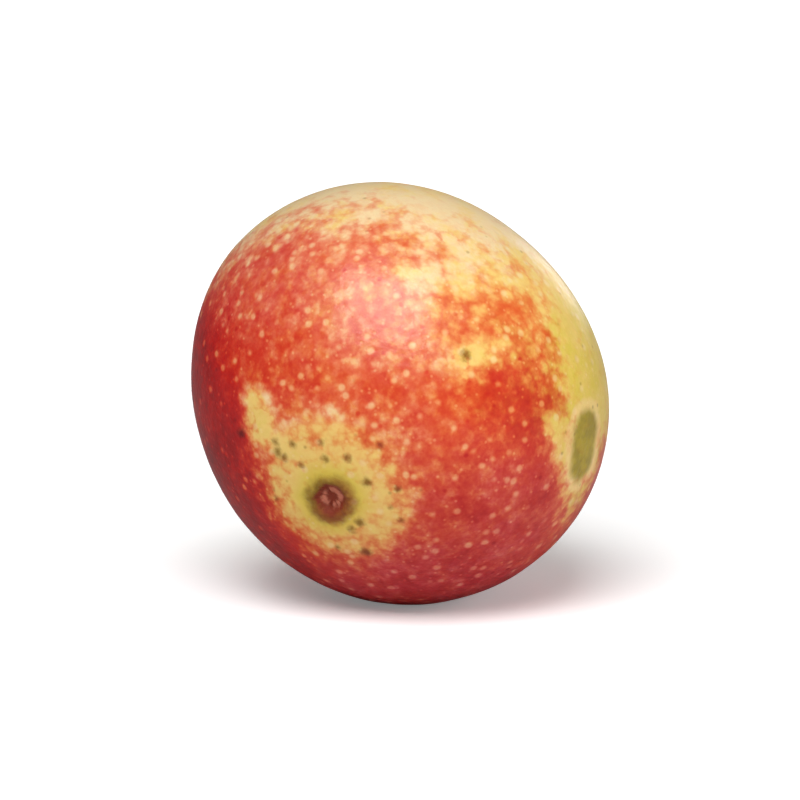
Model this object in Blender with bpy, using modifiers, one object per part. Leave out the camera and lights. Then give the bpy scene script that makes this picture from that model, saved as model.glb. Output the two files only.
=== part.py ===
"""A ripe camu camu: one round, thin-skinned berry that rests on a small flat spot.

The berry is turned from its stem scar to its blossom ring, swollen a little out of round, laid in
its resting pose and flattened where it touches the ground. Units are metres and +Z is up. The
front of the fruit faces -Y, and the origin lies on the ground under the middle of the fruit.
"""

import math

import bmesh
import bpy
import numpy as np
from mathutils import Vector

MM = 0.001

# The whole fruit
MEAN_RADIUS = 12.32 * MM
FLAT_SPOT_DEPTH = 0.25 * MM
GIRTH_STEPS = 80
CREASE_ANGLE = math.radians(50.0)
MERGE_DISTANCE = 0.002 * MM

# How far it is out of round, as shares of the mean radius
TALL_SHARE = 0.046
SQUAT_SHARE = 0.040
EGG_SHARE = 0.016
LUMP_SHARE = 0.0035

# The faint lumps of the flank: how fast they wave along X, Y and Z, and where the waves start
LUMP_WAVES = (3.1, 4.7, 4.3)
LUMP_STARTS = (0.6, -1.1)

# The profile from pole to pole: rings are close where the scars are, and wide apart on the flank
SCAR_REACH = 2.6 * MM
RINGS_PER_SCAR = 15
FLANK_RINGS = 26

# The stem scar: a low green lip round a shallow cup, with a stub of fibres in its middle
STEM_LIP_RADIUS = 1.32 * MM
STEM_LIP_WIDTH = 0.34 * MM
STEM_LIP_HEIGHT = 0.13 * MM
STEM_CUP_RADIUS = 0.92 * MM
STEM_CUP_DEPTH = 0.42 * MM
STEM_CUP_WALL = 0.16 * MM
STEM_STUB_RADIUS = 0.34 * MM
STEM_STUB_HEIGHT = 0.20 * MM
STEM_DIP_RADIUS = 3.6 * MM
STEM_DIP_DEPTH = 0.22 * MM

# The blossom ring: a raised corky collar round a hollow, with the foot of the style in it
RING_RADIUS = 1.50 * MM
RING_WIDTH = 0.40 * MM
RING_HEIGHT = 0.28 * MM
HOLLOW_RADIUS = 1.12 * MM
HOLLOW_DEPTH = 0.48 * MM
HOLLOW_WALL = 0.13 * MM
STYLE_RADIUS = 0.28 * MM
STYLE_HEIGHT = 0.34 * MM


def direction(turn, rise):
    """Unit vector at a turn from +X about +Z and a rise above the ground plane, in degrees."""
    turn, rise = math.radians(turn), math.radians(rise)
    level = math.cos(rise)
    return Vector((level * math.cos(turn), level * math.sin(turn), math.sin(rise)))


# The stem scar faces the front, low on the left; the fruit is drawn out to its upper left
STEM_DIRECTION = direction(-112.2, -21.7)
TALL_DIRECTION = direction(164.5, 51.4)
EGG_DIRECTION = direction(160.0, 58.2)

# Shallow marks pressed into the flank: where each lies, its radius and its depth
FLANK_MARKS = {
    "pressed_patch": (direction(-29.9, -8.6), 2.3 * MM, 0.13 * MM),
    "small_pit": (direction(-68.6, 21.9), 0.75 * MM, 0.07 * MM),
    "back_flat": (direction(118.0, -6.0), 3.4 * MM, 0.12 * MM),
    "back_pit": (direction(62.0, 34.0), 0.9 * MM, 0.08 * MM),
}


def bump(distance, centre, width):
    """A smooth hill of height 1 at centre, which fades over width on either side."""
    return np.exp(-(((distance - centre) / width) ** 2))


def bowl(distance, radius, wall):
    """1 inside radius and 0 outside it, with a smooth wall of the given thickness."""
    return 0.5 - 0.5 * np.tanh((distance - radius) / wall)


def stem_relief(distance):
    """Height of the skin over the round at a distance from the stem pole."""
    return (
        STEM_LIP_HEIGHT * bump(distance, STEM_LIP_RADIUS, STEM_LIP_WIDTH)
        - STEM_CUP_DEPTH * bowl(distance, STEM_CUP_RADIUS, STEM_CUP_WALL)
        + STEM_STUB_HEIGHT * bump(distance, 0.0, STEM_STUB_RADIUS)
        - STEM_DIP_DEPTH * bump(distance, 0.0, STEM_DIP_RADIUS)
    )


def blossom_relief(distance):
    """Height of the skin over the round at a distance from the blossom pole."""
    return (
        RING_HEIGHT * bump(distance, RING_RADIUS, RING_WIDTH)
        - HOLLOW_DEPTH * bowl(distance, HOLLOW_RADIUS, HOLLOW_WALL)
        + STYLE_HEIGHT * bump(distance, 0.0, STYLE_RADIUS)
    )


def profile_points():
    """The turned outline from the stem pole, at the top, down to the blossom pole."""
    length = math.pi * MEAN_RADIUS
    stem_part = np.linspace(0.0, SCAR_REACH, RINGS_PER_SCAR)
    flank = np.linspace(SCAR_REACH, length - SCAR_REACH, FLANK_RINGS + 2)[1:-1]
    along = np.concatenate([stem_part, flank, length - stem_part[::-1]])
    radius = MEAN_RADIUS + stem_relief(along) + blossom_relief(length - along)
    angle = along / MEAN_RADIUS
    across = radius * np.sin(angle)
    across[[0, -1]] = 0.0
    return np.stack([across, np.zeros_like(across), radius * np.cos(angle)], axis=1)


def turned_berry():
    """The round berry with its two scars, its stem pole at +Z, as a mesh of its own."""
    points = profile_points()
    edges = [(i, i + 1) for i in range(len(points) - 1)]
    profile = bpy.data.meshes.new("berry_profile")
    profile.from_pydata(points.tolist(), edges, [])
    turned = bpy.data.objects.new("berry_profile", profile)
    bpy.context.scene.collection.objects.link(turned)
    screw = turned.modifiers.new("Turn", "SCREW")
    screw.axis = "Z"
    screw.angle = math.tau
    screw.steps = GIRTH_STEPS
    screw.render_steps = GIRTH_STEPS
    screw.use_merge_vertices = True
    screw.merge_threshold = MERGE_DISTANCE
    depsgraph = bpy.context.evaluated_depsgraph_get()
    mesh = bpy.data.meshes.new_from_object(turned.evaluated_get(depsgraph))
    bpy.data.objects.remove(turned)
    bpy.data.meshes.remove(profile)
    return mesh


def legendre_2(share):
    """Stretches a ball along one axis and draws it in around its waist."""
    return (3 * share**2 - 1) / 2


def legendre_3(share):
    """Draws one end of a ball out and fills the other, as on an egg."""
    return (5 * share**3 - 3 * share) / 2


def lumps(ways):
    """Faint hills and hollows, between -1 and 1, where two waves cross."""
    wave_x, wave_y, wave_z = LUMP_WAVES
    first = np.cos(wave_x * ways[:, 0] + wave_z * ways[:, 2] + LUMP_STARTS[0])
    second = np.cos(wave_y * ways[:, 1] + LUMP_STARTS[1])
    return first * second


def out_of_round(ways):
    """The factor by which the berry is swollen along each unit vector of ways."""
    return (
        1.0
        + TALL_SHARE * legendre_2(ways @ np.array(TALL_DIRECTION))
        - SQUAT_SHARE * legendre_2(ways @ np.array(STEM_DIRECTION))
        + EGG_SHARE * legendre_3(ways @ np.array(EGG_DIRECTION))
        + LUMP_SHARE * lumps(ways)
    )


def flank_marks(ways):
    """How deep the pressed marks lie along each unit vector of ways."""
    depth = np.zeros(len(ways))
    for where, radius, deepest in FLANK_MARKS.values():
        apart = MEAN_RADIUS * np.arccos(np.clip(ways @ np.array(where), -1.0, 1.0))
        depth += deepest * bump(apart, 0.0, radius)
    return depth


def lay_and_swell(mesh):
    """Turns the berry to its resting pose, swells it out of round and sets it on the ground."""
    to_pose = Vector((0.0, 0.0, 1.0)).rotation_difference(STEM_DIRECTION).to_matrix()
    points = np.empty(len(mesh.vertices) * 3)
    mesh.vertices.foreach_get("co", points)
    points = points.reshape(-1, 3) @ np.array(to_pose).T
    length = np.linalg.norm(points, axis=1, keepdims=True)
    ways = points / length
    length = length * out_of_round(ways)[:, None] - flank_marks(ways)[:, None]
    points = ways * length
    low, high = points.min(axis=0), points.max(axis=0)
    middle = (low + high) / 2
    points -= (middle[0], middle[1], low[2] + FLAT_SPOT_DEPTH)
    mesh.vertices.foreach_set("co", points.ravel())
    mesh.update()


def skin_material():
    """Thin, glossy cherry-red skin."""
    material = bpy.data.materials.new("camu_camu_skin")
    material.use_nodes = True
    shader = material.node_tree.nodes["Principled BSDF"]
    shader.inputs["Base Color"].default_value = (0.58, 0.09, 0.045, 1.0)
    shader.inputs["Roughness"].default_value = 0.32
    shader.inputs["Metallic"].default_value = 0.0
    return material


def collection(name):
    """A new collection in the scene."""
    made = bpy.data.collections.new(name)
    bpy.context.scene.collection.children.link(made)
    return made


def ground_cutter(cutters):
    """The block of ground whose top face flattens the foot of the fruit."""
    side = 4 * MEAN_RADIUS
    block = bmesh.new()
    bmesh.ops.create_cube(block, size=side)
    mesh = bpy.data.meshes.new("ground_cutter")
    block.to_mesh(mesh)
    block.free()
    cutter = bpy.data.objects.new("ground_cutter", mesh)
    cutter.location = (0.0, 0.0, -side / 2)
    cutter.hide_render = True
    cutter.display_type = "WIRE"
    cutters.objects.link(cutter)
    return cutter


def fruit(parts, cutter):
    """The whole berry: one solid of skin and flesh."""
    mesh = turned_berry()
    lay_and_swell(mesh)
    mesh.name = "camu_camu_fruit"
    mesh.materials.clear()
    mesh.materials.append(skin_material())
    mesh.shade_smooth()
    mesh.set_sharp_from_angle(angle=CREASE_ANGLE)
    berry = bpy.data.objects.new("camu_camu_fruit", mesh)
    parts.objects.link(berry)
    flat_spot = berry.modifiers.new("Flat spot", "BOOLEAN")
    flat_spot.operation = "DIFFERENCE"
    flat_spot.solver = "EXACT"
    flat_spot.object = cutter
    return berry


def main():
    for old in list(bpy.data.objects):
        bpy.data.objects.remove(old)
    parts = collection("Camu camu")
    cutters = collection("Cutters")
    fruit(parts, ground_cutter(cutters))


main()
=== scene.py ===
# %% [markdown]
# # A ripe camu camu
#
# A camu camu is a round tropical berry, as wide as a large cherry, with thin, taut, waxy skin. It
# ripens from yellow-green to cherry red, speck by speck, so a picked fruit shows both colours at
# once, with pale pores all over the red. A sunken scar marks where it hung from the twig, and a
# raised corky ring at the other end where the flower sat.
#
# This lesson makes one fruit as a single fine surface with its relief in the mesh, and a skin
# made only of nodes. Everything is in metres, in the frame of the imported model.

# %% Load the frame
import itertools
import math

import bpy
import numpy as np
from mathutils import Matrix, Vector


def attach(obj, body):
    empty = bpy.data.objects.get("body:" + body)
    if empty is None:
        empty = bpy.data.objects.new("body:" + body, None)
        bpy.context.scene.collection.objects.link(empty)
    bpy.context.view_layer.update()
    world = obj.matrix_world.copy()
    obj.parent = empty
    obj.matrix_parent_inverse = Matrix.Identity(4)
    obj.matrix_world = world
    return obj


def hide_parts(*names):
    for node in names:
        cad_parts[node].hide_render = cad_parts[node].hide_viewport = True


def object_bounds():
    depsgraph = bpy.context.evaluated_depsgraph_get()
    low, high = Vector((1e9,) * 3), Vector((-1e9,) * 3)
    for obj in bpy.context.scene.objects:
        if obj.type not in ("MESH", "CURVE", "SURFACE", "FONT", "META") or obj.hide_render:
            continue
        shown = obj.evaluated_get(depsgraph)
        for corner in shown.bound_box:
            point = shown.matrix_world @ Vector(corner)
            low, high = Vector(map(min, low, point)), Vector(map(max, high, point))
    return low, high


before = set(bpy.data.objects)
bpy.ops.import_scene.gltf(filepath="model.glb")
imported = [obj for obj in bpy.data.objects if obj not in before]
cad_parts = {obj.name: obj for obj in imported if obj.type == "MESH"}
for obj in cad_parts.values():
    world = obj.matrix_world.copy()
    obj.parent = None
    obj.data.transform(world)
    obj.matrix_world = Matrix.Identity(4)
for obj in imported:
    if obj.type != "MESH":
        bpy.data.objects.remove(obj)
cad_low, cad_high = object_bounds()
print("frame box in mm:", [round(v * 1000, 2) for v in (*cad_low, *cad_high)])

# %% [markdown]
# ## Directions on the fruit
#
# What lies on a round fruit is easiest to place by its direction from the middle: a turn and a
# rise, as on a globe. The front view is seen by an eye that looks down by the camera's angle, so
# it has three axes of its own: right, up and near.

# %% Directions
MM = 0.001
CAMERA_RISE = math.radians(12.0)
MEAN_RADIUS = 12.32

EYE_RIGHT = np.array([1.0, 0.0, 0.0])
EYE_UP = np.array([0.0, math.sin(CAMERA_RISE), math.cos(CAMERA_RISE)])
EYE_NEAR = np.array([0.0, -math.cos(CAMERA_RISE), math.sin(CAMERA_RISE)])


def direction(turn, rise):
    """Unit vector at a turn from +X about +Z and a rise above the ground plane, in degrees."""
    turn, rise = math.radians(turn), math.radians(rise)
    level = math.cos(rise)
    return np.array([level * math.cos(turn), level * math.sin(turn), math.sin(rise)])


def unit(vectors):
    """The same vectors at length one."""
    return vectors / np.linalg.norm(vectors, axis=-1, keepdims=True)


STEM_WAY = direction(-112.2, -21.7)
TALL_WAY = direction(164.5, 51.4)
EGG_WAY = direction(160.0, 58.2)
print("the stem scar faces", STEM_WAY.round(2))

# %% [markdown]
# ## Noise as whole arrays
#
# Nothing that grew is exactly round or evenly coloured. Value noise gives both lumps and patches:
# every corner of a unit grid gets a number worked out from its own coordinates, and a point takes
# the mix of the eight corners round it. Finer, fainter copies make it rough.

# %% Noise
HASH_STEPS = (374761393, 668265263, 1440662683, 1274126177)
HASH_MASK = 0xFFFFFFFF


def corner_value(corner, seed):
    """A number from -1 to 1 for each row of whole numbers: mixed products, cut to 32 bits."""
    mixed = corner @ np.array(HASH_STEPS[:3], dtype=np.int64) + seed * HASH_STEPS[3]
    mixed = mixed & HASH_MASK
    mixed = ((mixed ^ (mixed >> 13)) * HASH_STEPS[3]) & HASH_MASK
    return (mixed ^ (mixed >> 16)) / HASH_MASK * 2.0 - 1.0


def value_noise(points, seed):
    """The corner values of the unit grid, blended by an S-curve of each coordinate's fraction."""
    cell = np.floor(points).astype(np.int64)
    part = points - cell
    ease = part**3 * (part * (part * 6.0 - 15.0) + 10.0)
    total = np.zeros(points.shape[:-1])
    for corner in itertools.product((0, 1), repeat=3):
        share = np.where(np.array(corner) == 1, ease, 1.0 - ease).prod(axis=-1)
        total += share * corner_value(cell + np.array(corner), seed)
    return total


def rough_noise(points, size, octaves=3, seed=0):
    """Noise with features of about size, plus copies of half the size and 0.55 the height."""
    total = np.zeros(points.shape[:-1])
    height = 1.0
    for octave in range(octaves):
        total += height * value_noise(points / size * 2**octave, seed + 17 * octave)
        height *= 0.55
    return total


def ramp(value, low, high):
    """0 below low and 1 above high, with the S-curve 3 s^2 - 2 s^3 between them."""
    share = np.clip((value - low) / (high - low), 0.0, 1.0)
    return share * share * (3.0 - 2.0 * share)


def bump(distance, centre, width):
    """A smooth hill of height 1 at centre, which fades over width on either side."""
    return np.exp(-(((distance - centre) / width) ** 2))


def bowl(distance, radius, wall):
    """1 inside radius and 0 outside it, with a smooth wall of the given thickness."""
    return 0.5 - 0.5 * np.tanh((distance - radius) / wall)


sample = rough_noise(np.random.default_rng(1).uniform(-9.0, 9.0, (2000, 3)), 1.0)
print("noise of 2000 points runs from", sample.min().round(2), "to", sample.max().round(2))

# %% [markdown]
# ## The grid of the skin
#
# The surface is a grid of the distance along the skin from the stem pole, in millimetres, and
# the turn about the axis between the poles. Rings lie close together at both scars, where the
# relief is fine, and 0.2 mm apart on the flank. A ball of even faces would waste them.

# %% The grid
GIRTH_STEPS = 384
STEM_REACH, STEM_RINGS = 5.4, 64
RING_REACH, BLOSSOM_RINGS = 2.8, 40
FLANK_RINGS = 154

skin_length = math.pi * MEAN_RADIUS
stem_part = np.linspace(0.0, STEM_REACH, STEM_RINGS)
blossom_part = skin_length - np.linspace(RING_REACH, 0.0, BLOSSOM_RINGS)
flank_part = np.linspace(STEM_REACH, skin_length - RING_REACH, FLANK_RINGS + 2)[1:-1]
along = np.concatenate([stem_part, flank_part, blossom_part])
turn = np.arange(GIRTH_STEPS) / GIRTH_STEPS * math.tau

from_stem, around = np.meshgrid(along, turn, indexing="ij")
from_blossom = skin_length - from_stem
polar = from_stem / MEAN_RADIUS
local = np.stack(
    [np.sin(polar) * np.cos(around), np.sin(polar) * np.sin(around), np.cos(polar)], axis=-1
)
to_pose = np.array(
    Vector((0.0, 0.0, 1.0)).rotation_difference(Vector(STEM_WAY)).to_matrix()
)
ways = local @ to_pose.T
circle = np.stack([np.cos(around), np.sin(around), np.zeros_like(around)], axis=-1)
print("rings and steps:", ways.shape[:2])


def apart(way):
    """Distance along the skin from each grid point to the point that lies that way, in mm."""
    return MEAN_RADIUS * np.arccos(np.clip(ways @ way, -1.0, 1.0))


# %% [markdown]
# ## A clock round the stem scar
#
# What varies round the scar, such as the reach of its yellow halo, is given as on a clock face
# read from the front: a value at each of a few angles from the right, joined by straight lines.

# %% Clock
STEM_RIGHT = unit(EYE_RIGHT - (EYE_RIGHT @ STEM_WAY) * STEM_WAY)
STEM_UP = np.cross(STEM_WAY, STEM_RIGHT)
clock = np.arctan2(ways @ STEM_UP, ways @ STEM_RIGHT)


def by_clock(degrees, values):
    """A value for each grid point, joined by straight lines between clock angles in degrees."""
    return np.interp(np.degrees(clock), degrees, values, period=360.0)


print("up on the clock face points", STEM_UP.round(2))

# %% [markdown]
# ## Relief of the two scars
#
# Where the fruit broke from its twig there is a cup in a low, uneven lip, with the stubs of its
# fibre strands in a broken ring on its floor. At the other end the flower's base left a corky
# collar round a hollow, with the foot of the style in the middle. Both are heights in mm over the
# round, written as hills and bowls of the distance from the pole, which is stretched a little
# with the turn, so that neither is a perfect circle.

# %% Scar relief
STEM_LIP_RADIUS, STEM_LIP_WIDTH, STEM_LIP_HEIGHT = 1.32, 0.34, 0.13
STEM_CUP_RADIUS, STEM_CUP_WALL, STEM_CUP_DEPTH = 0.92, 0.16, 0.42
STEM_DIP_RADIUS, STEM_DIP_DEPTH = 3.6, 0.22
STRAND_RADIUS, STRAND_WIDTH, STRAND_HEIGHT = 0.58, 0.27, 0.15

RING_RADIUS, RING_WIDTH, RING_HEIGHT = 1.50, 0.40, 0.28
HOLLOW_RADIUS, HOLLOW_WALL, HOLLOW_DEPTH = 1.12, 0.13, 0.48
STYLE_RADIUS, STYLE_HEIGHT = 0.28, 0.34

GRAIN_SIZE = 0.28
STEM_GRAIN_HEIGHT, STEM_GRAIN_RADIUS, STEM_GRAIN_WALL = 0.030, 1.45, 0.15
RING_GRAIN_HEIGHT, RING_GRAIN_RADIUS, RING_GRAIN_WALL = 0.035, 1.95, 0.12

stem_wobble = 1.0 + 0.05 * rough_noise(circle * 1.6, 1.0, 3, 5) + 0.06 * np.cos(2 * clock + 1.2)
ring_wobble = 1.0 + 0.04 * rough_noise(circle * 1.4, 1.0, 3, 9) + 0.03 * np.cos(2 * around - 0.7)
stem_distance = from_stem * stem_wobble
ring_distance = from_blossom * ring_wobble

strand_gaps = ramp(rough_noise(circle * 1.7, 1.0, 2, 29), -0.90, 0.20)
strands = bump(stem_distance, STRAND_RADIUS, STRAND_WIDTH) * strand_gaps
grain = rough_noise(ways * MEAN_RADIUS, GRAIN_SIZE, 3, 21)
lip_height = STEM_LIP_HEIGHT * (1.0 + 0.45 * rough_noise(circle * 2.3, 1.0, 2, 31))
ring_height = RING_HEIGHT * (1.0 + 0.20 * rough_noise(circle * 3.1, 1.0, 3, 37))

stem_relief = (
    lip_height * bump(stem_distance, STEM_LIP_RADIUS, STEM_LIP_WIDTH)
    - STEM_CUP_DEPTH * bowl(stem_distance, STEM_CUP_RADIUS, STEM_CUP_WALL)
    + STRAND_HEIGHT * strands
    - STEM_DIP_DEPTH * bump(stem_distance, 0.0, STEM_DIP_RADIUS)
    + STEM_GRAIN_HEIGHT * grain * bowl(stem_distance, STEM_GRAIN_RADIUS, STEM_GRAIN_WALL)
)
ring_relief = (
    ring_height * bump(ring_distance, RING_RADIUS, RING_WIDTH)
    - HOLLOW_DEPTH * bowl(ring_distance, HOLLOW_RADIUS, HOLLOW_WALL)
    + STYLE_HEIGHT * bump(ring_distance, 0.0, STYLE_RADIUS)
    + RING_GRAIN_HEIGHT * grain * bowl(ring_distance, RING_GRAIN_RADIUS, RING_GRAIN_WALL)
)
print("stem relief in mm:", stem_relief.min().round(2), "to", stem_relief.max().round(2))
print("ring relief in mm:", ring_relief.min().round(2), "to", ring_relief.max().round(2))

# %% [markdown]
# ## The form of the fruit
#
# The berry is a ball drawn out at its upper left like an egg and a little shorter from pole to
# pole. Each of these is a smooth factor on the radius. Shallow marks show where it was pressed,
# faint lumps come from the seeds inside, and the skin has a slight orange-peel swell.

# %% Form
TALL_SHARE, SQUAT_SHARE, EGG_SHARE, LUMP_SHARE = 0.046, 0.040, 0.016, 0.0035
LUMP_WAVES, LUMP_STARTS = (3.1, 4.7, 4.3), (0.6, -1.1)
SWELL_HEIGHT, SWELL_SIZE = 0.030, 4.0
PEEL_HEIGHT, PEEL_SIZE = 0.0045, 0.9
STEM_END_RADIUS, BLOSSOM_END_RADIUS, END_WALL = 1.9, 2.3, 0.3

FLANK_MARKS = {
    # name: (way, radius, depth)
    "pressed patch": (direction(-29.9, -8.6), 2.3, 0.13),
    "small pit": (direction(-68.6, 21.9), 0.75, 0.07),
    "flat on the back": (direction(118.0, -6.0), 3.4, 0.12),
    "pit on the back": (direction(62.0, 34.0), 0.9, 0.08),
}


def stretched(share):
    """Legendre's second curve: a ball drawn out along one axis and drawn in round its waist."""
    return (3.0 * share**2 - 1.0) / 2.0


def egg(share):
    """Legendre's third curve: one end drawn out and the other filled."""
    return (5.0 * share**3 - 3.0 * share) / 2.0


lumps = np.cos(LUMP_WAVES[0] * ways[..., 0] + LUMP_WAVES[2] * ways[..., 2] + LUMP_STARTS[0])
lumps = lumps * np.cos(LUMP_WAVES[1] * ways[..., 1] + LUMP_STARTS[1])
out_of_round = (
    1.0
    + TALL_SHARE * stretched(ways @ TALL_WAY)
    - SQUAT_SHARE * stretched(ways @ STEM_WAY)
    + EGG_SHARE * egg(ways @ EGG_WAY)
    + LUMP_SHARE * lumps
)
marks = sum(depth * bump(apart(way), 0.0, radius) for way, radius, depth in FLANK_MARKS.values())

skin_points = ways * MEAN_RADIUS
off_stem = 1.0 - bowl(from_stem, STEM_END_RADIUS, END_WALL)
off_blossom = 1.0 - bowl(from_blossom, BLOSSOM_END_RADIUS, END_WALL)
swell = SWELL_HEIGHT * rough_noise(skin_points, SWELL_SIZE, 2, 41)
peel = PEEL_HEIGHT * rough_noise(skin_points, PEEL_SIZE, 2, 43)
height = stem_relief + ring_relief + (swell + peel) * (off_stem * off_blossom)
radius = (MEAN_RADIUS + height) * out_of_round - marks
form = ways * radius[..., None]
print("the radius runs from", radius.min().round(2), "to", radius.max().round(2), "mm")

# %% [markdown]
# ## Set on the ground
#
# The form is centred over the origin and let down by a quarter of a millimetre, and what would
# sink is pressed flat: a resting spot just under 5 mm across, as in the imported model. It is also
# drawn in by a hair, so that its finer relief stays in the model's box.

# %% Lay it down
FLAT_SPOT_DEPTH = 0.25

low, high = form.min(axis=(0, 1)), form.max(axis=(0, 1))
middle = (low + high) / 2.0
form = form - np.array([middle[0], middle[1], low[2] + FLAT_SPOT_DEPTH])
box_high = np.array(cad_high) / MM
fit = np.minimum(1.0, box_high / form.max(axis=(0, 1)))
form = form * fit
form[..., 2] = np.maximum(form[..., 2], 0.0)
print("drawn in to", fit.round(4), "of its size to fit the box")

# %% [markdown]
# ## Places in the front view
#
# Now a mark can be placed by how far right and how far up of the fruit's middle it shows in the
# front view, in millimetres. The skin point that shows there is looked up in the grid, so a mark
# near the edge lands where it belongs on the curved side.

# %% Places
SHOWN_MIDDLE = (-0.11, 12.21)
FAR_BELOW = -99.0
STAMPS_A_LEG = 8

shown_right = form @ EYE_RIGHT - SHOWN_MIDDLE[0]
shown_up = form @ EYE_UP - SHOWN_MIDDLE[1]
shown_near = (form - form.mean(axis=(0, 1))) @ EYE_NEAR


def seen(right, up):
    """The way to the front grid point that shows nearest to a place right and up of the middle."""
    off = np.hypot(shown_right - right, shown_up - up)
    off = np.where(shown_near < 0.0, -FAR_BELOW, off)
    return ways.reshape(-1, 3)[off.argmin()]


def trail(places, radii, soft):
    """Highest of (radius - distance) / soft over a round brush drawn through the seen places."""
    ends = np.array([seen(*place) for place in places])
    stops = np.arange(len(ends))
    height = np.full(ways.shape[:2], FAR_BELOW)
    for share in np.linspace(0.0, len(ends) - 1.0, STAMPS_A_LEG * (len(ends) - 1) + 1):
        way = unit(np.array([np.interp(share, stops, axis) for axis in ends.T]))
        thick = np.interp(share, stops, radii)
        height = np.maximum(height, (thick - apart(way)) / soft)
    return height


print("the front's middle faces", seen(0.0, 0.0).round(2))

# %% [markdown]
# ## From the grid to a mesh
#
# The first and last ring of the grid are single points, so each is stored once and closed with a
# fan of triangles. Between them every four neighbours make one face, and the last step joins the
# first, so there is no seam.

# %% Mesh from the grid
def closed_mesh(name, grid):
    """Vertices: pole, inner rings, pole. Faces: a fan, quads ring by ring, a fan, all outward."""
    rings, steps = grid.shape[:2]
    inner = grid[1:-1].reshape(-1, 3)
    points = np.concatenate([grid[:1, 0], inner, grid[-1:, 0]])
    index = 1 + np.arange((rings - 2) * steps).reshape(rings - 2, steps)
    onward = np.roll(index, -1, axis=1)
    quads = np.stack([index[:-1], index[1:], onward[1:], onward[:-1]], axis=-1).reshape(-1, 4)
    last = len(points) - 1
    top = np.stack([np.zeros(steps, int), index[0], onward[0]], axis=-1)
    foot = np.stack([np.full(steps, last), onward[-1], index[-1]], axis=-1)
    corners = np.concatenate([top.ravel(), quads.ravel(), foot.ravel()])
    sizes = np.concatenate([np.full(steps, 3), np.full(len(quads), 4), np.full(steps, 3)])
    mesh = bpy.data.meshes.new(name)
    mesh.vertices.add(len(points))
    mesh.vertices.foreach_set("co", (points * MM).astype(np.float32).ravel())
    mesh.loops.add(len(corners))
    mesh.loops.foreach_set("vertex_index", corners.astype(np.int32))
    mesh.polygons.add(len(sizes))
    starts = np.concatenate([[0], np.cumsum(sizes)[:-1]])
    mesh.polygons.foreach_set("loop_start", starts.astype(np.int32))
    mesh.update(calc_edges=True)
    mesh.validate()
    mesh.shade_smooth()
    return mesh


def paint(mesh, name, field):
    """Stores a field of the grid on the mesh, one value a vertex, for the material."""
    values = np.concatenate([field[:1, 0], field[1:-1].ravel(), field[-1:, 0]])
    attribute = mesh.attributes.new(name, "FLOAT", "POINT")
    attribute.data.foreach_set("value", values.astype(np.float32))
    print(f"{name}: {field.min():.2f} to {field.max():.2f}, mean {field.mean():.2f}")


skin_mesh = closed_mesh("camu_camu_skin", form)
triangles = sum(len(p.vertices) - 2 for p in skin_mesh.polygons)
print("triangles:", triangles)

# %% [markdown]
# ## How much red, how cool, how green, how flecked
#
# Four slow changes tint the skin. Pigment is how dense the red is; on the left flank, low on the
# left and at the foot it is partly deep red and partly painted shade, and at the highlight it is
# thinned as part of a painted highlight. Cool is how far it leans to crimson. Green is how unripe
# the bare skin is. Fleck is how close the red comes to breaking up, from about -2 for solid red
# to 1 for bare skin. Noise alone could not place them, so a few places get values, and every
# point takes their mean, weighted by a bell curve of how near they are.

# %% Tints
TINT_REACH = 3.8
TINTS = {
    # place: (way, pigment, cool, green, fleck)
    # left flank: the dense red is partly the skin's deep scarlet, partly painted shade
    "left flank": (seen(-11.6, 0.8), 2.50, 0.22, 0.30, -2.1),
    "upper left": (seen(-8.3, 6.9), 0.60, 0.60, 0.05, -1.2),
    "upper left edge": (seen(-9.0, 8.4), 0.80, 0.20, 0.05, -1.1),
    "top": (seen(-3.0, 11.0), 0.62, 0.20, 0.00, -0.5),
    "under the top": (seen(-2.0, 8.2), 0.66, 0.15, 0.15, -0.7),
    "top right": (seen(4.5, 10.0), 0.24, 0.10, 0.04, 1.5),
    "upper right": (seen(6.5, 7.0), 0.66, 0.05, 0.12, -0.2),
    # the thinner red here is partly painted highlight, paling the skin under the shine
    "highlight": (seen(-1.7, 4.3), 0.37, 0.25, 0.05, -0.9),
    "middle": (seen(-2.0, 1.5), 0.86, 0.15, 0.20, -1.2),
    "above middle": (seen(3.5, 4.6), 0.46, 0.25, 0.05, -0.7),
    "orange patch": (seen(6.4, 5.0), 0.33, 0.00, 0.72, -0.9),
    "left of middle": (seen(-8.3, 1.8), 0.86, 0.05, 0.15, -1.3),
    "right of middle": (seen(7.4, 0.3), 1.14, 0.00, 0.85, -1.7),
    "right edge": (seen(11.5, 2.0), 0.60, 0.00, 0.75, 0.3),
    "right edge, low": (seen(11.6, -3.0), 0.95, 0.20, 0.80, -0.7),
    "between": (seen(1.5, -2.5), 0.70, 0.10, 0.20, -1.0),
    "above the halo": (seen(-3.5, -1.0), 0.70, 0.05, 0.20, -0.9),
    "right of the halo": (seen(3.5, -5.5), 0.95, 0.45, 0.20, -1.5),
    "lower right": (seen(8.0, -6.0), 0.98, 0.85, 0.20, -1.7),
    # foot: the dense cool red is partly painted shade where the fruit meets the ground
    "foot": (seen(1.0, -11.6), 1.15, 0.90, 0.15, -1.9),
    # lower left: the dense red is partly the skin's deep red, partly painted shade
    "lower left": (seen(-9.4, -5.8), 2.40, 0.10, 0.20, -2.0),
    "stem end": (STEM_WAY, 0.50, 0.10, 0.35, -0.5),
    "left back": (direction(165.0, 5.0), 1.30, 0.40, 0.35, -1.6),
    "low back": (direction(100.0, -40.0), 1.10, 0.70, 0.45, -1.3),
    "blossom end": (-STEM_WAY, 0.60, 0.20, 0.60, -0.2),
    "high back": (direction(90.0, 65.0), 0.45, 0.10, 0.25, 0.2),
    "right back": (direction(30.0, 5.0), 0.60, 0.10, 0.75, 0.3),
}


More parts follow.
